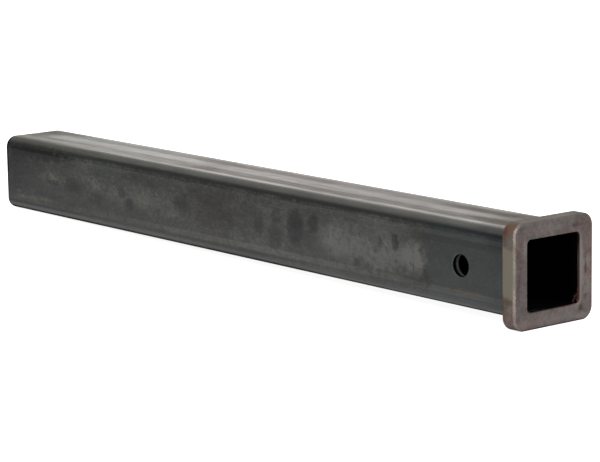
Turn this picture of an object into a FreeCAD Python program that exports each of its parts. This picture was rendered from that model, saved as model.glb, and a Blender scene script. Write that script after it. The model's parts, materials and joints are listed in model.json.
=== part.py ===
import FreeCAD, Part
import math
import os

# A receiver tube for a trailer hitch: a square steel tube with a forged collar round its mouth.
# All sizes are in millimetres. The origin is the middle of the mouth, on the collar's front face.
# +X points out of the mouth, +Z is up, and the tube runs back along -X.

# Overall
overall_length = 650.0

# Tube, of 2 1/2 in square section
tube_outside = 63.5
tube_wall = 5.95
tube_corner_radius = 9.5
tightest_inside_bend = 1.0
sawn_edge_break = 0.4

# Hole for a 5/8 in hitch pin, through both side walls
pin_hole_diameter = 16.4
pin_hole_from_mouth = 61.7
pin_hole_edge_break = 0.4

# Seat for the collar, ground round the tube's end until the mill scale is off. It shows as a narrow
# strip behind the collar.
seat_grind_depth = 0.1
seat_strip_width = 4.0

# Collar, forged in one piece: a socket that the tube's end seats in, behind a lip round the mouth
collar_wall = 6.7
collar_thickness = 12.7
collar_corner_radius = 9.5
collar_lip = 4.8
collar_front_edge_radius = 1.0
collar_mouth_edge_radius = 0.5
collar_back_edge_radius = 2.0
collar_lead_in = 0.6
collar_clearance = 0.15

# Seam weld in a groove between the tube's end and the lip, ground off just below the walls of the passage
weld_groove_leg = 2.0
weld_recess = 0.2

# Places and sizes that follow from the ones above
tube_back = -overall_length
tube_front = -collar_lip
collar_back = -collar_thickness
passage_side = tube_outside - 2 * tube_wall
passage_radius = max(tube_corner_radius - tube_wall, tightest_inside_bend)
seat_side = tube_outside - 2 * seat_grind_depth
seat_radius = tube_corner_radius - seat_grind_depth
seat_back = collar_back - seat_strip_width
socket_side = seat_side + 2 * collar_clearance
socket_radius = seat_radius + collar_clearance
collar_outside = socket_side + 2 * collar_wall

# How far a cutting shape runs past what it cuts, and how close two places are to count as one
run_past = 5.0
same_place = 0.001


def rounded_square(side, radius, x):
    """The outline of a square with rounded corners, standing across X."""
    half = side / 2
    flat = half - radius
    on_diagonal = flat + radius * math.sqrt(0.5)
    flat_start = FreeCAD.Vector(x, -flat, half)
    arc_start = FreeCAD.Vector(x, flat, half)
    arc_middle = FreeCAD.Vector(x, on_diagonal, on_diagonal)
    arc_end = FreeCAD.Vector(x, half, flat)
    quarter = [
        Part.LineSegment(flat_start, arc_start).toShape(),
        Part.Arc(arc_start, arc_middle, arc_end).toShape(),
    ]
    centre = FreeCAD.Vector(x, 0, 0)
    along_x = FreeCAD.Vector(1, 0, 0)
    edges = []
    for turn in range(4):
        for edge in quarter:
            turned = edge.copy()
            turned.rotate(centre, along_x, -90 * turn)
            edges.append(turned)
    return Part.Wire(edges)


def square_bar(side, radius, back, front):
    """A solid bar of rounded square section from back to front along X."""
    section = Part.Face(rounded_square(side, radius, back))
    return section.extrude(FreeCAD.Vector(front - back, 0, 0))


def outline_edges(shape, side, x):
    """The edges of a shape that make up a rounded square outline of that side at x."""
    found = []
    for edge in shape.Edges:
        points = [vertex.Point for vertex in edge.Vertexes]
        at_x = all(abs(point.x - x) < same_place for point in points)
        on_outline = all(
            abs(max(abs(point.y), abs(point.z)) - side / 2) < same_place
            for point in points
        )
        if at_x and on_outline:
            found.append(edge)
    return found


def pin_hole_edges(shape):
    """The round edges of the pin hole on the outside, one on each side wall."""
    radius = pin_hole_diameter / 2
    found = []
    for edge in shape.Edges:
        if not isinstance(edge.Curve, Part.Circle):
            continue
        centre = edge.Curve.Center
        of_the_hole = abs(edge.Curve.Radius - radius) < same_place
        at_the_hole = abs(centre.x + pin_hole_from_mouth) < same_place
        outside = abs(abs(centre.y) - tube_outside / 2) < same_place
        if of_the_hole and at_the_hole and outside:
            found.append(edge)
    return found


def make_tube():
    """The square tube with its ground seat, pin hole, deburred edges and the bevel for the seam weld."""
    plain = square_bar(tube_outside, tube_corner_radius, tube_back, seat_back)
    seat = square_bar(seat_side, seat_radius, seat_back, tube_front)
    outside = plain.fuse(seat)
    passage = square_bar(
        passage_side, passage_radius, tube_back - run_past, tube_front + run_past
    )
    tube = outside.cut(passage)
    sawn_edges = outline_edges(tube, tube_outside, tube_back)
    sawn_edges += outline_edges(tube, passage_side, tube_back)
    tube = tube.makeChamfer(sawn_edge_break, sawn_edges)
    tube = tube.makeChamfer(
        weld_groove_leg, outline_edges(tube, passage_side, tube_front)
    )
    half_drill = tube_outside / 2 + run_past
    drill = Part.makeCylinder(
        pin_hole_diameter / 2,
        2 * half_drill,
        FreeCAD.Vector(-pin_hole_from_mouth, -half_drill, 0),
        FreeCAD.Vector(0, 1, 0),
    )
    tube = tube.cut(drill)
    return tube.makeChamfer(pin_hole_edge_break, pin_hole_edges(tube))


def make_collar():
    """The forged ring: a block with rounded edges, a socket from behind and the mouth through its lip."""
    collar = square_bar(collar_outside, collar_corner_radius, collar_back, 0)
    collar = collar.makeFillet(
        collar_back_edge_radius, outline_edges(collar, collar_outside, collar_back)
    )
    collar = collar.makeFillet(
        collar_front_edge_radius, outline_edges(collar, collar_outside, 0)
    )
    socket = square_bar(
        socket_side, socket_radius, collar_back - run_past, -collar_lip
    )
    mouth = square_bar(passage_side, passage_radius, collar_back - run_past, run_past)
    collar = collar.cut(socket).cut(mouth)
    collar = collar.makeFillet(
        collar_mouth_edge_radius, outline_edges(collar, passage_side, 0)
    )
    collar = collar.makeChamfer(
        weld_groove_leg, outline_edges(collar, passage_side, -collar_lip)
    )
    return collar.makeChamfer(
        collar_lead_in, outline_edges(collar, socket_side, collar_back)
    )


def make_collar_weld(tube, collar):
    """The weld metal that fills the groove between tube and lip, up to its ground face."""
    back = tube_front - weld_groove_leg
    front = tube_front + weld_groove_leg
    filled_side = passage_side + tube_wall
    filled = square_bar(filled_side, passage_radius + tube_wall / 2, back, front)
    ground = square_bar(
        passage_side + 2 * weld_recess,
        passage_radius + weld_recess,
        back - run_past,
        front + run_past,
    )
    return filled.cut(ground).cut(tube).cut(collar)


def main():
    tube = make_tube()
    collar = make_collar()
    pieces = {
        "tube": tube,
        "collar": collar,
        "collar_weld": make_collar_weld(tube, collar),
    }
    os.makedirs("parts", exist_ok=True)
    for name, shape in pieces.items():
        shape.exportStep("parts/" + name + ".step")
        print(name, len(shape.Solids), "solid,", round(shape.Volume), "mm3")


main()
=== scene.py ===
import json
import math

import bpy
from mathutils import Matrix, Vector


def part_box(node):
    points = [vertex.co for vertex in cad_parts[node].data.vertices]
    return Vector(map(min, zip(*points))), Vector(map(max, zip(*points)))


# A receiver tube: square steel tube with mill scale, a forged collar round its mouth and the seam weld
# inside the mouth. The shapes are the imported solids. This script gives them their finishes and the studio.
# Places in the materials are in millimetres in the part's own frame: +X out of the mouth, +Z up.

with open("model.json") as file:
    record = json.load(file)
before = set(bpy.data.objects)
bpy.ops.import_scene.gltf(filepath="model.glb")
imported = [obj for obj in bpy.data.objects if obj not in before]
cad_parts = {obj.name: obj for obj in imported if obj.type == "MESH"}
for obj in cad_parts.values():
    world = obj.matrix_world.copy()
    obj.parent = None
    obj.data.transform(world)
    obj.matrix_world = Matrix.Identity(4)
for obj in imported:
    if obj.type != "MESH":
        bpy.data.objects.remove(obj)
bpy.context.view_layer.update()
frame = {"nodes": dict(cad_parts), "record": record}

MM = 0.001


def box_of(node):
    """The lowest and the highest corner of a carried-over solid in mm, rounded to thousandths."""
    return [[round(value / MM, 3) for value in corner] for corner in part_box(node)]


# Sizes from the frame
TUBE_LOW, TUBE_HIGH = box_of("tube")
COLLAR_LOW, COLLAR_HIGH = box_of("collar")
TUBE_BACK = TUBE_LOW[0]
TUBE_HALF = TUBE_HIGH[2]
COLLAR_BACK = COLLAR_LOW[0]
COLLAR_HALF = COLLAR_HIGH[2]
PIN_HOLE = next(mount for mount in frame["record"]["mounts"] if mount["name"] == "pin_hole")
PIN_HOLE_X = PIN_HOLE["pos_m"][0] / MM
PIN_HOLE_RADIUS = PIN_HOLE["dims"]["r_mm"]

# Sizes that the solids have and the frame doesn't name
TUBE_RADIUS = 9.5
TUBE_WALL = 5.95
COLLAR_RADIUS = 9.5
COLLAR_BACK_EDGE_RADIUS = 2.0
SEAT_STRIP_WIDTH = 4.0

# Places that follow: half the width of the flat between two corners, the corners of the passage, where the
# ground strip starts, and where the collar's flat underside starts
TUBE_FLAT = TUBE_HALF - TUBE_RADIUS
COLLAR_FLAT = COLLAR_HALF - COLLAR_RADIUS
TUBE_INNER_RADIUS = TUBE_RADIUS - TUBE_WALL
SEAT_BACK = COLLAR_BACK - SEAT_STRIP_WIDTH
COLLAR_REST = COLLAR_BACK + COLLAR_BACK_EDGE_RADIUS

# The far wall has the near one's marks end for end. Along X, a place and its twin add up to this
TWIN_SUM = TUBE_BACK - 12.0
# The paleness that the palest mill scale has, where the darkest has 0
PALEST = 1.5

# Camera, from a perspective fit of the photograph's outlines: radians and millimetres
CAMERA_AZIMUTH = 0.8876921
CAMERA_PITCH = 0.1818971
CAMERA_ROLL = -0.0159472
CAMERA_DISTANCE = 1825.365
CAMERA_RIGHT = -177.782
CAMERA_UP = 28.663
CAMERA_LENS = 156.392
CAMERA_SENSOR = 36.0

# Studio: how far the view and the floor reach in metres, and levels of light and white
CAMERA_CLIP_END = 100.0
FLOOR_REACH = 12.0
FLOOR_WHITE = 0.8
FLOOR_LIFT = 0.93
ROOM_LEVEL = 0.2
PANEL_DIRECTION = (-0.7, 0.57, 0.44)

# Soft smudges on the side walls: x, z, half lengths along both, and how much paler each is, or darker below 0
SIDE_MARKS = (
    (-640, 4, 42, 50, -0.3),
    (-605, 22.5, 84, 8, -1.15),
    (-112, -20, 26, 7, -0.25),
    (-584, 3.5, 20, 7, 0.35),
    (-577, 5, 8, 3, 0.4),
    (-577, -18, 110, 9, -0.3),
    (-546, -2, 22, 11, -0.55),
    (-520, 8, 20, 5, 0.4),
    (-513, 4.5, 9, 3, 0.35),
    (-515, -9, 18, 9, -0.4),
    (-440, 0, 80, 15, 0.5),
    (-402, -6, 12, 5, 0.3),
    (-392, 4, 15, 12, -0.6),
    (-350, 3, 46, 26, -0.25),
    (-300, -16, 110, 8, 0.25),
    (-205, -1.5, 10, 5, 0.3),
    (-285, 0, 60, 40, 0.2),
    (-194, -1, 44, 24, 0.9),
    (-200, 3, 9, 6, 0.3),
    (-150, 17, 60, 14, 0.45),
    (-145, -2, 50, 20, 0.9),
    (-160, 4, 7, 3, 0.3),
    (-141, 5.7, 6, 3, 0.4),
    (-152, -12, 20, 6, 0.35),
    (-110, -1, 20, 18, 0.95),
    (-107, 3, 7, 6, 0.25),
    (-97, -15, 9, 7, -0.5),
)
# Spots with firmer edges, in the same form
SIDE_SPOTS = (
    (-577, -1, 9, 2.5, -0.35),
    (-476, 3, 7, 6, -0.45),
    (-465, -6, 7, 6, -0.55),
    (-293, 1.2, 8, 11, -0.3),
    (-273, -8, 11, 12, -0.35),
    (-271, 9, 8, 8, -0.25),
    (-248, 3.5, 12, 17, -0.6),
    (-226, 9, 8, 9, -0.5),
    (-149, 5, 3, 6, -0.4),
    (-132, 6.9, 5, 8, -0.55),
    (-112, -4, 1.2, 10, -0.5),
    (-632, -14, 3, 2, 0.5),
    (-635, -9, 2, 1.5, 0.4),
    (-605, -17.5, 40, 2.5, 0.35),
    (-52, -18, 32, 2, 0.25),
)
# The same on the top and the bottom: x and y
TOP_MARKS = (
    (-642, 6, 32, 26, -1.0),
    (-615, 19, 30, 9, -0.5),
    (-380, -12, 30, 15, -0.3),
    (-30, 0, 44, 70, -0.85),
)
# The same for blue oxide and for brown rust, where the last number is how much of the tint shows
BLUE_MARKS = (
    (-630, 0, 30, 12, 0.6),
    (-515, -9, 16, 8, 0.8),
    (-465, -6, 9, 8, 1.0),
    (-422, -19, 14, 5, 0.8),
)
BROWN_MARKS = (
    (-350, 3, 50, 28, 0.6),
    (-584, 3, 18, 6, 0.45),
    (-548, -4, 18, 9, 0.35),
    (-338, -1, 9, 5, 0.6),
)
BROWN_STREAKS = (
    (-605, -17.5, 42, 2.5, 0.6),
    (-52, -18.5, 36, 2.4, 1.2),
    (-75, 16.5, 45, 1.8, 0.5),
)
# Smudges on the collar's front face: y and z
FRONT_MARKS = (
    (-33.5, 4, 4, 26, -0.25),
    (-27.8, 21, 3, 10, 0.55),
    (-8, 31, 22, 6, 0.3),
    (-31, 33, 5, 5, -0.15),
    (21, 31, 6, 4, -0.5),
    (20, 31.6, 2, 1.5, -0.7),
    (27.5, 1, 3.5, 20, 0.9),
    (34.5, 4, 3.5, 8, 0.6),
    (31.5, -1, 1.8, 6, -0.8),
    (31.5, -21, 3, 3.5, -0.6),
    (26.8, -29, 3, 3, -0.8),
    (28, -35, 10, 3.5, 0.6),
    (-29, -34, 7, 5, 0.45),
    (0, -34, 30, 5, 0.2),
    (-5, -32, 50, 11, 0.35),
    (33, -14, 8, 22, 0.35),
)
# Rust on the front face, in the same form
FRONT_RUST_MARKS = (
    (35, 31, 5, 7, 0.7),
    (-26, -37, 16, 3, 0.6),
    (39, 0, 7, 46, 0.9),
    (-35, 17, 2.5, 8, 0.7),
)
# Smudges on the collar's side faces: x and z
COLLAR_SIDE_MARKS = (
    (-7, -17.5, 7, 4, -0.8),
    (-12, -20, 3, 12, -0.9),
    (-10, 27, 3.5, 6, -0.7),
    (-12.5, -31, 2.5, 8, -0.6),
)
COLLAR_RUST_MARKS = (
    (-6, 37, 8, 4, 0.4),
    (-9.5, 32, 4.5, 6, 1.1),
    (-12, -19, 2, 7, 0.8),
)
COLLAR_BROWN_MARKS = (
    (-6.5, 36, 9, 9, 1.4),
    (-5, 29, 10, 8, 0.45),
    (-8, -18, 6, 5, 0.6),
)


def make_camera():
    """The photograph's camera."""
    sin_az, cos_az = math.sin(CAMERA_AZIMUTH), math.cos(CAMERA_AZIMUTH)
    sin_pitch, cos_pitch = math.sin(CAMERA_PITCH), math.cos(CAMERA_PITCH)
    back = Vector((sin_az * cos_pitch, -cos_az * cos_pitch, sin_pitch))
    level_right = Vector((cos_az, sin_az, 0))
    level_up = back.cross(level_right)
    right = level_right * math.cos(CAMERA_ROLL) + level_up * math.sin(CAMERA_ROLL)
    up = level_up * math.cos(CAMERA_ROLL) - level_right * math.sin(CAMERA_ROLL)
    eye = back * CAMERA_DISTANCE + right * CAMERA_RIGHT + up * CAMERA_UP
    data = bpy.data.cameras.new("camera")
    data.lens = CAMERA_LENS
    data.sensor_width = CAMERA_SENSOR
    data.clip_end = CAMERA_CLIP_END
    camera = bpy.data.objects.new("camera", data)
    turned = Matrix((right, up, back)).transposed().to_4x4()
    camera.matrix_world = Matrix.Translation(eye * MM) @ turned
    bpy.context.scene.collection.objects.link(camera)
    bpy.context.scene.camera = camera


def colour(value):
    """A grey number or three parts as a colour; sockets stay as they are."""
    if isinstance(value, bpy.types.NodeSocket):
        return value
    if isinstance(value, (int, float)):
        return (value, value, value, 1)
    return (*value, 1)


class Nodes:
    """Writes shader nodes as plain expressions. Every value is a number, a colour or a socket."""

    def __init__(self, tree):
        self.tree = tree
        tree.nodes.clear()

    def node(self, kind, *inputs, **settings):
        node = self.tree.nodes.new(kind)
        for name, value in settings.items():
            setattr(node, name, value)
        for socket, value in inputs:
            self.put(node.inputs[socket], value)
        return node

    def put(self, socket, value):
        if isinstance(value, bpy.types.NodeSocket):
            self.tree.links.new(value, socket)
        else:
            socket.default_value = value

    def math(self, operation, *values):
        return self.node("ShaderNodeMath", *enumerate(values), operation=operation).outputs[0]

    def add(self, *values):
        total = values[0]
        for value in values[1:]:
            total = self.math("ADD", total, value)
        return total

    def sub(self, a, b):
        return self.math("SUBTRACT", a, b)

    def mul(self, a, b):
        return self.math("MULTIPLY", a, b)

    def absolute(self, a):
        return self.math("ABSOLUTE", a)

    def ramp(self, value, low, high, to_low=0.0, to_high=1.0):
        """Smooth step: to_low at low, to_high at high. Low may be above high."""
        inputs = enumerate((value, low, high, to_low, to_high))
        return self.node("ShaderNodeMapRange", *inputs, interpolation_type="SMOOTHSTEP").outputs[0]

    def band(self, value, middle, half, soft):
        """1 within half of the middle, falling to 0 over the soft distance."""
        return self.ramp(self.absolute(self.sub(value, middle)), half + soft, half)

    def mix(self, factor, a, b):
        """Colour a where the factor is 0, b where it is 1."""
        node = self.node("ShaderNodeMix", (0, factor), (6, colour(a)), (7, colour(b)), data_type="RGBA")
        return node.outputs[2]

    def tint(self, factor, a, b):
        """Colour a, multiplied by b where the factor is 1."""
        inputs = ((0, factor), (6, colour(a)), (7, colour(b)))
        return self.node("ShaderNodeMix", *inputs, data_type="RGBA", blend_type="MULTIPLY").outputs[2]

    def blend(self, factor, a, b):
        """Number a where the factor is 0, b where it is 1."""
        return self.node("ShaderNodeMix", (0, factor), (2, a), (3, b)).outputs[0]

    def shades(self, value, *colours):
        """A run of evenly spaced colours from 0 to 1."""
        node = self.node("ShaderNodeValToRGB", (0, value))
        elements = node.color_ramp.elements
        while len(elements) < len(colours):
            elements.new(0.5)
        for index, shade in enumerate(colours):
            elements[index].position = index / (len(colours) - 1)
            elements[index].color = colour(shade)
        return node.outputs[0]

    def place(self):
        """The place on the part in mm: whole, x, y and z."""
        metres = self.node("ShaderNodeTexCoord").outputs["Object"]
        inputs = ((0, metres), ("Scale", 1 / MM))
        whole = self.node("ShaderNodeVectorMath", *inputs, operation="SCALE").outputs[0]
        axes = self.node("ShaderNodeSeparateXYZ", (0, whole)).outputs
        return whole, axes[0], axes[1], axes[2]

    def noise(self, place, size, stretch=(1, 1, 1), detail=4.0, roughness=0.55, shift=0.0, output=0):
        """Noise from 0 to 1 about 0.5, with grains of that size in mm, stretched along the axes."""
        scale = [1 / (size * times) for times in stretch]
        inputs = ((0, place), (1, scale), (2, [shift] * 3))
        moved = self.node("ShaderNodeVectorMath", *inputs, operation="MULTIPLY_ADD")
        node = self.node(
            "ShaderNodeTexNoise",
            ("Vector", moved.outputs[0]),
            ("Scale", 1.0),
            ("Detail", detail),
            ("Roughness", roughness),
        )
        return node.outputs[output]

    def wobble(self, place, size, reach):
        """The place, moved about by noise by up to half of reach."""
        inputs = ((0, self.noise(place, size, output=1)), (1, [reach] * 3), (2, [-reach / 2] * 3))
        moved = self.node("ShaderNodeVectorMath", *inputs, operation="MULTIPLY_ADD").outputs[0]
        return self.node("ShaderNodeVectorMath", (0, place), (1, moved), operation="ADD").outputs[0]

    def marks(self, place, ovals, depth=8.0, edge=0.1):
        """Adds up oval smudges on a wall across Y at y = 0. The nearer the edge is to 1, the firmer."""
        total = 0.0
        for x, z, half_x, half_z, strength in ovals:
            scale = (1 / half_x, 1 / depth, 1 / half_z)
            shift = (-x / half_x, 0, -z / half_z)
            inputs = ((0, place), (1, scale), (2, shift))
            moved = self.node("ShaderNodeVectorMath", *inputs, operation="MULTIPLY_ADD").outputs[0]
            away = self.node("ShaderNodeVectorMath", (0, moved), operation="LENGTH").outputs["Value"]
            total = self.add(total, self.ramp(away, 1.0, edge, 0.0, strength))
        return total

    def past_flat(self, y, z, flat):
        """How far a place lies outside a square of that half side: in a rounded corner, its radius."""
        past_y = self.math("MAXIMUM", self.sub(self.absolute(y), flat), 0.0)
        past_z = self.math("MAXIMUM", self.sub(self.absolute(z), flat), 0.0)
        return self.math("SQRT", self.add(self.mul(past_y, past_y), self.mul(past_z, past_z)))

    def surface(self, base, roughness, relief, metallic):
        """Steel with a relief in mm. Scale isn't metallic. Near black places are, which stops their shine."""
        bump = self.node("ShaderNodeBump", ("Distance", MM), ("Height", relief))
        inputs = (
            ("Base Color", base),
            ("Metallic", metallic),
            ("Roughness", roughness),
            ("Normal", bump.outputs[0]),
        )
        shader = self.node("ShaderNodeBsdfPrincipled", *inputs)
        output = self.node("ShaderNodeOutputMaterial")
        self.put(output.inputs["Surface"], shader.outputs[0])


def make_world():
    """A soft studio: bright behind and overhead, and a darker room low in front. The camera sees it white."""
    world = bpy.data.worlds.new("studio")
    bpy.context.scene.world = world
    world.use_nodes = True
    net = Nodes(world.node_tree)
    direction = net.node("ShaderNodeTexCoord").outputs["Generated"]
    axes = net.node("ShaderNodeSeparateXYZ", (0, direction)).outputs
    to_right, to_back, upward = axes[0], axes[1], axes[2]
    room = net.mul(net.ramp(upward, 0.58, 0.44), net.ramp(to_back, -0.1, -0.4))
    panel_direction = Vector(PANEL_DIRECTION).normalized()
    toward = net.node("ShaderNodeVectorMath", (0, direction), (1, panel_direction), operation="DOT_PRODUCT")
    panel = net.ramp(toward.outputs["Value"], 0.96, 0.99)
    low = net.mul(net.ramp(upward, 0.1, 0.19), net.ramp(upward, 0.5, 0.4))
    glow = net.mul(low, net.ramp(to_right, -0.45, -0.65))
    plain = net.add(1.0, net.mul(panel, 0.85), net.mul(glow, 0.3))
    far_left = net.mul(net.ramp(to_right, -0.775, -0.82), net.ramp(upward, 0.18, 0.27))
    plain = net.mul(plain, net.sub(1.0, net.mul(far_left, 0.95)))
    plain = net.mul(plain, net.ramp(upward, -0.02, 0.11, 0.55, 1.0))
    level = net.sub(plain, net.mul(room, net.sub(plain, ROOM_LEVEL)))
    seen = net.node("ShaderNodeLightPath").outputs["Is Camera Ray"]
    level = net.blend(seen, level, 1.0)
    background = net.node("ShaderNodeBackground", ("Color", colour(1.0)), ("Strength", level))
    output = net.node("ShaderNodeOutputWorld")
    net.put(output.inputs["Surface"], background.outputs[0])


def new_material(name):
    material = bpy.data.materials.new(name)
    material.use_nodes = True
    return material, Nodes(material.node_tree)


def floor_white():
    """White paper, lifted to full white for the camera. Steel mirrors it darker away from the part."""
    material, net = new_material("floor_white")
    path = net.node("ShaderNodeLightPath").outputs
    _, x, y, _ = net.place()
    aside = net.absolute(y)
    near = net.ramp(aside, 260, 80)
    beside = net.ramp(aside, 60, 35)
    left = net.ramp(x, -620, -900)
    mirrored = net.add(0.5, net.mul(near, 0.42), net.mul(beside, -0.16), net.mul(left, -0.3))
    under = net.sub(aside, net.ramp(x, -50, -350, 0.0, 3.5))
    mirrored = net.mul(mirrored, net.ramp(under, 24.2, 27.2, 0.05, 1.0))
    mirror_ray = net.math("MAXIMUM", path["Is Glossy Ray"], path["Is Transmission Ray"])
    lift = net.mul(path["Is Camera Ray"], FLOOR_LIFT)
    diffuse = net.node("ShaderNodeBsdfDiffuse", ("Color", colour(FLOOR_WHITE)))
    glow = net.node("ShaderNodeEmission", ("Color", colour(1.0)), ("Strength", lift))
    seen = net.node("ShaderNodeAddShader", (0, diffuse.outputs[0]), (1, glow.outputs[0]))
    reflected = net.node("ShaderNodeEmission", ("Color", colour(1.0)), ("Strength", mirrored))
    either = net.node("ShaderNodeMixShader", (0, mirror_ray), (1, seen.outputs[0]), (2, reflected.outputs[0]))
    output = net.node("ShaderNodeOutputMaterial")
    net.put(output.inputs["Surface"], either.outputs[0])
    return material


def make_floor():
    """A white floor under the part, which rests on the tube's back edge and on the back of the collar."""
    back = Vector((TUBE_BACK, 0, -TUBE_HALF)) * MM
    front = Vector((COLLAR_REST, 0, -COLLAR_HALF)) * MM
    along = (front - back).normalized() * FLOOR_REACH
    across = Vector((0, 1, 0)) * FLOOR_REACH
    middle = (back + front) / 2
    corners = []
    for side_x, side_y in ((-1, -1), (1, -1), (1, 1), (-1, 1)):
        corners.append(middle + along * side_x + across * side_y)
    mesh = bpy.data.meshes.new("floor")
    mesh.from_pydata(corners, [], [(0, 1, 2, 3)])
    mesh.materials.append(floor_white())
    floor = bpy.data.objects.new("floor", mesh)
    bpy.context.scene.collection.objects.link(floor)


def wall_place(net, x, y, z):
    """The place as the marks on the side walls want it, with the wall itself at y = 0."""
    far = net.ramp(y, -1, 1)
    turned = net.add(x, net.mul(far, net.sub(TWIN_SUM, net.mul(x, 2))))
    away = net.sub(net.absolute(y), TUBE_HALF)
    return net.node("ShaderNodeCombineXYZ", (0, turned), (1, away), (2, z)).outputs[0]


def tube_bands(net, x, z, on_side):
    """Bands along the side walls, paler above 0 and darker below, with painted shade from the collar on their
    corners next to it.
    """
    low_band = net.band(z, net.ramp(x, -130, -100, -19.5, -20.4), 1.4, 1.6)
    line = net.mul(net.band(z, -23.5, 0.6, 1.2), net.ramp(x, -200, -260))
    edge_band = net.band(z, -27.4, 0.6, 0.9)
    high_band = net.band(z, 21.8, 1.8, 2)
    # Painted shade: the side walls darken towards their corners next to the collar.
    collar_painted_shade = net.mul(net.ramp(x, -45, -25), net.ramp(net.absolute(z), 14, 19))
    lowest = net.band(z, -25.4, 1.0, 1.4)
    lowest_change = net.add(
        net.ramp(x, -580, -550, -0.15, 0.22),
        net.ramp(x, -410, -370, 0, -0.14),
        net.ramp(x, -125, -105, 0, 0.12),
    )
    olive_band = net.mul(net.band(z, 16.5, 1.8, 1.2), net.ramp(x, -116, -106))
    return net.add(
        net.mul(low_band, net.ramp(x, -500, -420, 0.2, 0.42)),
        net.mul(line, net.ramp(x, -580, -490, -0.5, -0.27)),
        net.mul(lowest, lowest_change),
        net.mul(edge_band, -0.2),
        net.mul(collar_painted_shade, -0.25),
        net.mul(high_band, 0.12),
        net.mul(net.mul(olive_band, on_side), -0.2),
    )


def tube_paleness(net, place, streak, soft, firm, x, y, z):
    """How pale the mill scale is, and where the blue zone round the pin hole is."""
    ragged_x = net.node("ShaderNodeSeparateXYZ", (0, net.wobble(place, 6, 5))).outputs[0]
    on_side = net.ramp(net.sub(net.absolute(y), net.absolute(z)), -2, 3)
    cloud = net.noise(place, 45, (2.5, 1, 1), detail=5)
    smudge = net.noise(place, 9, (1.8, 1, 1), detail=4)
    mottle = net.noise(place, 2.6, (1.5, 1, 1), detail=3, shift=5.0)
    speckle = net.noise(place, 0.9, detail=2)
    varied = net.add(
        net.mul(cloud, 1.2),
        net.mul(smudge, 0.8),
        net.mul(streak, 0.5),
        net.mul(mottle, 1.1),
        net.mul(speckle, 1.2),
        -2.4,
    )
    varied = net.mul(varied, net.ramp(x, -270, -210, 1.0, 0.7))
    pale = net.add(varied, net.marks(soft, SIDE_MARKS), net.marks(firm, SIDE_SPOTS, edge=0.5), 0.5)
    zone = net.mul(net.ramp(ragged_x, -102, -90), on_side)
    pale = net.blend(net.mul(zone, 0.5), pale, 0.55)
    pale = net.add(pale, tube_bands(net, x, z, on_side))
    # Darker along the upper corner of the side walls, and darker still next to the collar as painted shade.
    corner_band = net.mul(net.mul(net.ramp(z, 24.2, 26.6), net.ramp(z, 29.5, 27.4)), on_side)
    pale = net.blend(net.mul(corner_band, 0.85), pale, net.ramp(x, -130, -40, 0.3, 0.13))
    return pale, zone


def tube_scale(net, place, soft, firm, x, z, pale, zone):
    """The colour of the mill scale: greener to the left, bluer to the right, with tinted smudges and rust."""
    dark_scale = (0.007, 0.0075, 0.007)
    mid_scale = (0.038, 0.0395, 0.036)
    pale_scale = (0.1, 0.1, 0.092)
    dusty_scale = (0.165, 0.164, 0.152)
    base = net.shades(net.mul(pale, 1 / PALEST), dark_scale, mid_scale, pale_scale, dusty_scale)
    hue = net.noise(place, 24, (2, 1, 1), detail=5, shift=9.0)
    green = net.ramp(net.add(hue, net.ramp(x, -330, -460, -0.05, 0.1)), 0.4, 0.62)
    base = net.tint(1.0, base, net.mix(green, (1.0, 0.985, 0.935), (0.94, 1.0, 0.91)))
    base = net.tint(net.ramp(x, -320, -230), base, (0.98, 0.99, 1.04))
    blue = net.math("MAXIMUM", net.marks(soft, BLUE_MARKS), net.mul(zone, 0.8))
    base = net.tint(blue, base, (0.86, 0.97, 1.12))
    brown = net.add(net.marks(soft, BROWN_MARKS), net.marks(firm, BROWN_STREAKS, edge=0.4))
    base = net.tint(brown, base, (1.28, 0.98, 0.78))
    dash = net.ramp(net.noise(place, 3.5, (1.6, 1, 0.6), detail=1, shift=4.0), 0.52, 0.6)
    dash_row = net.mul(net.band(z, -18.8, 1.0, 0.8), net.band(x, -125, 65, 10))
    return net.tint(net.mul(net.mul(dash, dash_row), 0.9), base, (0.75, 0.6, 0.45))


def tube_film(net, place, x, y, base, on_top):
    """The pale film on the top and the bottom: redder towards the mouth, greyer on the rounded corners, which
    darken next to the collar as painted shade.
    """
    warm = net.ramp(net.noise(place, 90, (2, 1, 1), detail=3), 0.35, 0.6)
    reddish = net.ramp(x, -520, -360)
    film = net.mul(on_top, net.blend(net.math("MAXIMUM", warm, reddish), 0.45, 0.95))
    film_flat = net.mix(reddish, (0.082, 0.073, 0.044), (0.1, 0.072, 0.05))
    film_flat = net.mix(net.ramp(x, -270, -200), film_flat, (0.096, 0.076, 0.056))
    film_corner = net.mix(net.band(x, -440, 60, 40), (0.067, 0.065, 0.052), (0.093, 0.091, 0.076))
    # Painted shade: the rounded corners darken next to the collar.
    film_corner = net.tint(net.ramp(x, -70, -20), film_corner, 0.35)
    film_colour = net.mix(net.ramp(net.absolute(y), 23.5, 27), film_flat, film_corner)
    patchy = net.noise(place, 14, (3, 1, 1), detail=5, shift=13.0)
    film_colour = net.tint(1.0, film_colour, net.ramp(patchy, 0.3, 0.7, 0.78, 1.22))
    return net.mix(film, base, film_colour)


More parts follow.
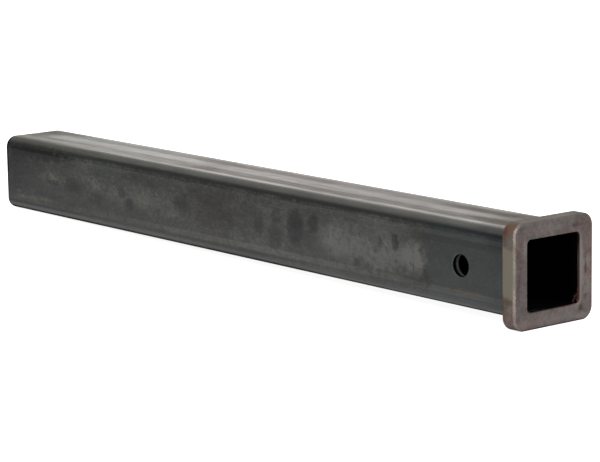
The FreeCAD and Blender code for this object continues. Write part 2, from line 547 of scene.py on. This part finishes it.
def tube_openings(net, x, y, z, radius, base):
    """Painted shade: near black in the passage and in the pin hole, with a painted lit stretch of the hole's
    wall and a painted highlight on the left of the hole's edge.
    """
    off_centre = net.sub(x, PIN_HOLE_X)
    from_hole = net.math("SQRT", net.add(net.mul(off_centre, off_centre), net.mul(z, z)))
    in_hole = net.ramp(from_hole, PIN_HOLE_RADIUS + 0.5, PIN_HOLE_RADIUS + 0.2)
    # These two radii lie within the wall, so they part its inner face from its outer one
    inside = net.mul(net.ramp(radius, 6.5, 5.0), net.sub(1.0, in_hole))
    drilled = net.mul(in_hole, net.ramp(net.absolute(y), TUBE_HALF - 0.25, TUBE_HALF - 0.5))
    # Painted light and shade in the pin hole: a lit stretch of its wall, near black elsewhere.
    wall_light = net.band(net.absolute(y), 27.4, 0.5, 1.5)
    base = net.mix(drilled, base, net.mix(wall_light, (0.001, 0.001, 0.001), (0.12, 0.125, 0.138)))
    # Painted highlight: a pale thin line round the left of the pin hole's edge.
    painted_rim_highlight = net.band(from_hole, PIN_HOLE_RADIUS + 0.7, 0.3, 0.5)
    painted_rim_highlight = net.mul(painted_rim_highlight, net.ramp(x, PIN_HOLE_X + 2, PIN_HOLE_X - 4))
    base = net.mix(net.mul(net.mul(painted_rim_highlight, net.sub(1.0, inside)), 0.3), base, (0.13, 0.135, 0.135))
    # Painted shade: the passage is near black.
    base = net.mix(inside, base, (0.004, 0.0035, 0.003))
    return base, inside, drilled, wall_light


def tube_ends(net, place, x, z, base, inside):
    """The strip ground for the collar, darker also as painted shade, the sawn end with its saw lines, a near
    black band of painted shade along its edge and a dark line low along the side walls.
    """
    # The strip ground for the collar is darker and bluer; its darkness is also painted shade from the collar.
    strip = net.mul(net.ramp(x, SEAT_BACK - 0.1, SEAT_BACK + 0.1), net.sub(1.0, inside))
    base = net.mix(net.mul(strip, 0.8), base, (0.028, 0.03, 0.03))
    sawn = net.ramp(x, TUBE_BACK + 0.5, TUBE_BACK + 0.2)
    saw_line = net.noise(place, 0.7, (1, 40, 1), detail=2)
    base = net.mix(sawn, base, net.shades(saw_line, (0.08, 0.072, 0.065), (0.26, 0.25, 0.235)))
    outside = net.sub(1.0, net.math("MAXIMUM", sawn, inside))
    # Painted shade: a near black band along the sawn end's edge.
    black = net.mul(net.ramp(x, TUBE_BACK + 3.4, TUBE_BACK + 2.4), outside)
    black = net.mul(black, net.mul(net.ramp(z, -24, 16, 0.35, 1.0), net.ramp(z, 31, 28)))
    low_line = net.mul(net.band(z, -23.7, 0.4, 1.2), net.ramp(x, -490, -570, 0.06, 0.3))
    black = net.math("MAXIMUM", black, net.mul(low_line, net.ramp(x, -240, -290)))
    base = net.mix(black, base, (0.002, 0.002, 0.002))
    return base, black, net.mul(net.mul(saw_line, sawn), 0.08)


def top_dullness(net, x, y, z, radius, on_top):
    """How much duller the steel is along the top and the bottom and on the rounded corners."""
    right_part = net.ramp(x, -450, -395)
    near_middle = net.blend(right_part, -11.5, -14)
    near_band = net.mul(net.band(y, near_middle, 3.4, 2.8), net.blend(right_part, 0.1, 0.16))
    near_band = net.mul(near_band, net.ramp(x, -350, -280, 0.8, 1.15))
    far_band = net.mul(net.band(y, 13, 3.2, 2.8), net.add(0.1, net.mul(net.band(x, -340, 60, 50), 0.06)))
    across = net.absolute(y)
    shoulder = net.mul(net.mul(net.ramp(across, 3, 6.5), net.ramp(across, 22, 19)), 0.035)
    right_dull = net.mul(net.add(shoulder, net.ramp(x, -290, -220, 0, 0.03)), right_part)
    left_bright = net.mul(net.band(y, 3, 4, 4), net.mul(net.ramp(x, -390, -430), net.ramp(x, -630, -600)))
    ridge_dull = net.add(
        net.ramp(x, -520, -590),
        net.ramp(x, -330, -250, 0, 0.35),
        net.ramp(x, -80, -50, 0, -0.45),
    )
    ridge = net.mul(net.band(y, -24, 3, 2), ridge_dull)
    end_band = net.mul(net.band(y, 10, 2.8, 4), net.mul(net.ramp(x, -150, -80), net.ramp(x, -38, -60)))
    end_spot = net.mul(net.band(y, -10, 2, 4), net.band(x, -55, 8, 22))
    fine_line = net.band(across, 13.2, 0.4, 0.8)
    corner = net.math("MINIMUM", net.ramp(across, 21, 23), net.ramp(net.absolute(z), 21, 23))
    rolled = net.mul(net.ramp(radius, TUBE_RADIUS - 0.5, TUBE_RADIUS - 0.1), corner)
    away = net.sub(net.absolute(z), TUBE_HALF)
    turned = net.node("ShaderNodeCombineXYZ", (0, x), (1, away), (2, y)).outputs[0]
    pale_marks = net.marks(net.wobble(turned, 9, 16), TOP_MARKS)
    along_top = net.add(
        near_band,
        far_band,
        right_dull,
        net.mul(left_bright, -0.07),
        net.mul(end_band, 0.25),
        net.mul(end_spot, 0.17),
        net.mul(fine_line, -0.1),
    )
    return net.add(
        net.mul(along_top, on_top),
        net.mul(rolled, -0.13),
        net.mul(pale_marks, -0.25),
        net.mul(ridge, 0.2),
    )


def tube_steel():
    """Mill scale on rolled steel: soft clouds, streaks along the tube, round smudges and a little rust, with
    painted light and shade in the passage, in the pin hole and next to the collar.
    """
    material, net = new_material("tube_steel")
    place, x, y, z = net.place()
    on_top = net.ramp(net.sub(net.absolute(z), net.absolute(y)), -3, 1)
    radius = net.past_flat(y, z, TUBE_FLAT)
    streak = net.noise(place, 1.6, (60, 1, 1), detail=3)
    walls = wall_place(net, x, y, z)
    soft = net.wobble(walls, 7, 20)
    firm = net.wobble(walls, 4, 7)
    pale, zone = tube_paleness(net, place, streak, soft, firm, x, y, z)
    base = tube_scale(net, place, soft, firm, x, z, pale, zone)
    base = tube_film(net, place, x, y, base, on_top)
    base, inside, drilled, wall_light = tube_openings(net, x, y, z, radius, base)
    base, black_end, saw_marks = tube_ends(net, place, x, z, base, inside)
    grain = net.noise(place, 6, (3, 1, 1), detail=4, shift=3.0)
    roughness = net.add(
        0.26,
        net.mul(net.sub(streak, 0.5), net.ramp(y, 6, 10, 0.4, 0.24)),
        net.mul(grain, 0.2),
        net.mul(inside, 0.6),
        net.mul(drilled, net.sub(0.5, net.mul(wall_light, 0.3))),
        top_dullness(net, x, y, z, radius, on_top),
    )
    pits = net.noise(place, 0.7, (2, 1, 1), detail=2)
    relief = net.add(net.mul(streak, 0.02), net.mul(pits, 0.012), saw_marks)
    # The near black places, the painted shade of the passage and the pin hole among them, go metallic, which
    # stops their shine.
    unlit = net.mul(drilled, net.sub(1.0, wall_light))
    black = net.math("MAXIMUM", inside, net.math("MAXIMUM", black_end, unlit))
    net.surface(base, roughness, relief, black)
    return material


def collar_scale(net, place, x, y, z):
    """The collar's forging scale: mottled, pinkish here and greenish there, with the front's smudges."""
    patch = net.noise(place, 11, detail=4)
    mottle = net.noise(place, 3.0, detail=5, roughness=0.65, shift=7.0)
    speckle = net.noise(place, 0.9, detail=2, shift=2.0)
    front = net.node("ShaderNodeCombineXYZ", (0, y), (1, x), (2, z)).outputs[0]
    front = net.wobble(front, 4, 5)
    smudges = net.marks(front, FRONT_MARKS, 3)
    shade = net.add(patch, net.mul(mottle, 1.3), net.mul(speckle, 0.7), smudges, -1.0)
    base = net.shades(shade, (0.076, 0.06, 0.056), (0.152, 0.128, 0.122), (0.235, 0.21, 0.2))
    hue = net.ramp(net.noise(place, 10, detail=5, roughness=0.5, shift=11.0), 0.38, 0.62)
    base = net.tint(1.0, base, net.mix(hue, (1.0, 0.87, 0.83), (0.95, 0.96, 0.96)))
    rust = net.marks(front, FRONT_RUST_MARKS, 3)
    return net.tint(rust, base, (1.0, 0.68, 0.6)), patch, mottle, speckle


def collar_sides(net, base, mottle, x, y, z, radius):
    """Browner scale on the outer sides, an olive field on the side faces and rust at the back corners."""
    outer = net.ramp(radius, COLLAR_RADIUS - 1.6, COLLAR_RADIUS - 0.4)
    upright = net.ramp(net.sub(net.absolute(y), net.absolute(z)), -1, 3)
    along = net.mul(net.mul(z, -1.0), net.math("SIGN", y))
    away = net.sub(net.absolute(y), COLLAR_HALF)
    flat = net.node("ShaderNodeCombineXYZ", (0, x), (1, away), (2, along)).outputs[0]
    flat = net.wobble(flat, 3, 4)
    dark = net.mul(net.marks(flat, COLLAR_SIDE_MARKS, 10), -1.0)
    plain = net.mix(net.ramp(along, -21, -28), (1.27, 1.31, 1.12), (1.36, 1.25, 1.17))
    side = net.tint(1.0, base, net.mix(upright, (0.8, 0.84, 0.78), plain))
    slant = net.add(along, net.mul(x, 0.3), net.mul(mottle, 6))
    field = net.mul(upright, net.band(slant, 3.8, 16, 2.5))
    side = net.mix(net.mul(field, 0.75), side, (0.275, 0.245, 0.187))
    side = net.tint(dark, side, (0.5, 0.46, 0.42))
    brown = net.marks(flat, COLLAR_BROWN_MARKS, 12)
    side = net.mix(net.mul(brown, 0.75), side, (0.17, 0.112, 0.066))
    rust = net.marks(flat, COLLAR_RUST_MARKS, 12)
    side = net.mix(net.mul(rust, 0.85), side, (0.15, 0.04, 0.03))
    return net.mix(outer, base, side)


def collar_edges(net, base, place, mottle, x, y, z, radius):
    """Worn edges: pale down the near front edge, where the pale is also a painted highlight, and painted
    shade underneath.
    """
    from_front = net.mul(x, -1.0)
    from_edge = net.math("MAXIMUM", net.sub(COLLAR_RADIUS, radius), from_front)
    chips = net.ramp(net.noise(place, 1.3, detail=2, shift=6.0), 0.35, 0.6)
    ragged = net.add(from_edge, net.mul(mottle, 2.4), net.mul(chips, -0.7), -1.0)
    worn = net.ramp(ragged, 1.55, 0.75)
    beads = net.ramp(net.noise(place, 2.6, detail=1, shift=8.0), 0.4, 0.58, 0.72, 1.12)
    between = net.mul(net.ramp(z, -38, -31, 0.2, 1.0), net.ramp(z, 37, 33.5, 0.45, 1.0))
    # Painted highlight: the worn pale shows in full only down the near front edge, brighter in some bands of
    # its height.
    near = net.mul(net.ramp(y, -29, -35), between)
    bright = net.math("MAXIMUM", net.band(z, 31, 3, 5), net.mul(net.band(z, 11, 4, 5), 0.8))
    bright = net.math("MAXIMUM", bright, net.mul(net.band(z, -16, 6, 6), 0.6))
    near = net.mul(net.mul(near, beads), net.blend(bright, 0.42, 1.0))
    pale = net.mix(net.band(z, 7, 9, 8), (0.57, 0.455, 0.405), (0.455, 0.405, 0.34))
    base = net.mix(net.mul(worn, net.blend(near, 0.06, 1.0)), base, pale)
    # Painted shade: near black along the underside edges.
    under = net.mul(net.ramp(z, 1.5 - COLLAR_HALF, 0.7 - COLLAR_HALF), net.ramp(from_edge, 1.6, 0.8))
    far = net.mul(net.ramp(y, COLLAR_HALF - 1.3, COLLAR_HALF - 0.5), net.ramp(from_front, 1.2, 0.8))
    base = net.tint(net.mul(far, 0.8), base, (0.6, 0.4, 0.36))
    return net.mix(net.mul(under, 0.95), base, (0.02, 0.013, 0.01))


def collar_mouth(net, base, mottle, x, y, z):
    """The mouth: a painted highlight down its far edge and painted shade along its bottom edge. On the lip,
    brown scale on the side walls, lit as painted light low down and going into painted shade above and
    further in, and near black painted shade elsewhere.
    """
    from_front = net.mul(x, -1.0)
    mouth = net.sub(net.past_flat(y, z, TUBE_FLAT), TUBE_INNER_RADIUS)
    from_mouth = net.math("MAXIMUM", mouth, from_front)
    # Painted highlight: a pale line down the mouth's far edge.
    line = net.ramp(net.add(from_mouth, net.mul(mottle, 1.6), -0.8), 2.6, 0.8)
    line = net.mul(line, net.mul(net.ramp(y, 16, 25), net.ramp(z, 27, 14, 0.3, 1.0)))
    base = net.mix(net.mul(line, 0.75), base, (0.31, 0.24, 0.215))
    # Painted shade along the bottom edge of the mouth.
    painted_mouth_shade = net.mul(net.ramp(mouth, 0.8, 0.3), net.mul(net.ramp(z, -20, -24), net.ramp(y, 24, 14)))
    base = net.tint(painted_mouth_shade, base, 0.12)
    lip = net.mul(net.ramp(mouth, 0.7, 0.2), net.ramp(from_front, 0.3, 0.9))
    sideways = net.ramp(net.sub(net.absolute(y), net.absolute(z)), -1.5, 1.0)
    # Painted light and shade on the lip's side walls: near black above, brown scale in the middle, brighter
    # and redder low down.
    brown = net.mix(net.ramp(z, 20, 8), (0.016, 0.012, 0.01), (0.105, 0.078, 0.067))
    brown = net.mix(net.ramp(z, -12, -18), brown, (0.17, 0.085, 0.065))
    # Painted shadow edge: further in than this the lip goes near black, lying further in low down.
    depth = net.sub(from_front, net.add(net.ramp(z, -15, -20, 0.0, 2.0), net.mul(mottle, 1.6), -0.8))
    in_painted_shadow = net.ramp(depth, 2.2, 2.9)
    scale = net.mix(net.mul(sideways, net.sub(1.0, in_painted_shadow)), (0.005, 0.004, 0.003), brown)
    # Near black painted shade on the lip's top and bottom and past the shadow edge; it is metallic, which
    # stops its shine.
    black = net.math("MAXIMUM", net.sub(1.0, sideways), in_painted_shadow)
    return net.mix(lip, base, scale), lip, net.mul(lip, black)


def collar_steel():
    """Forged steel with brown scale, olive side faces, rusty corners, worn edges with a painted highlight on
    the near one, and painted shade underneath and in the mouth.
    """
    material, net = new_material("collar_steel")
    place, x, y, z = net.place()
    radius = net.past_flat(y, z, COLLAR_FLAT)
    base, patch, mottle, speckle = collar_scale(net, place, x, y, z)
    base = collar_sides(net, base, mottle, x, y, z, radius)
    base = collar_edges(net, base, place, mottle, x, y, z, radius)
    base, lip, black = collar_mouth(net, base, mottle, x, y, z)
    roughness = net.add(0.62, net.mul(mottle, 0.3), net.mul(lip, 0.1))
    relief = net.add(net.mul(patch, 0.25), net.mul(mottle, 0.12), net.mul(speckle, 0.02))
    net.surface(base, roughness, relief, black)
    return material


def weld_metal():
    """Weld metal, ground off dull, with the last of its ripples and some rust, near black as painted shade,
    with a painted glint at its far bottom corner.
    """
    material, net = new_material("weld_metal")
    place, _, y, z = net.place()
    ripple = net.noise(place, 1.4, (0.7, 1, 1), detail=3)
    rust = net.noise(place, 5, detail=4)
    # Painted shade: the weld is near black, varied by rust, and metallic so that it doesn't shine.
    base = net.shades(rust, (0.003, 0.0025, 0.002), (0.008, 0.006, 0.005), (0.03, 0.018, 0.013))
    roughness = net.add(0.5, net.mul(rust, 0.3))
    # Painted glint: pale specks at the far bottom corner, which are not metallic and so shine.
    corner = net.mul(net.ramp(z, -18.5, -20.5), net.ramp(y, 21.5, 24))
    chips = net.mul(corner, net.ramp(net.noise(place, 1.6, detail=2), 0.46, 0.6))
    base = net.mix(chips, base, (0.13, 0.08, 0.065))
    relief = net.mul(ripple, 0.12)
    net.surface(base, roughness, relief, net.sub(0.95, chips))
    return material


def dress(node, material):
    """Gives a carried-over solid its finish."""
    for slot in frame["nodes"][node].material_slots:
        slot.material = material


make_camera()
make_world()
make_floor()
dress("tube", tube_steel())
dress("collar", collar_steel())
dress("collar_weld", weld_metal())

bpy.context.scene.view_settings.view_transform = "Standard"
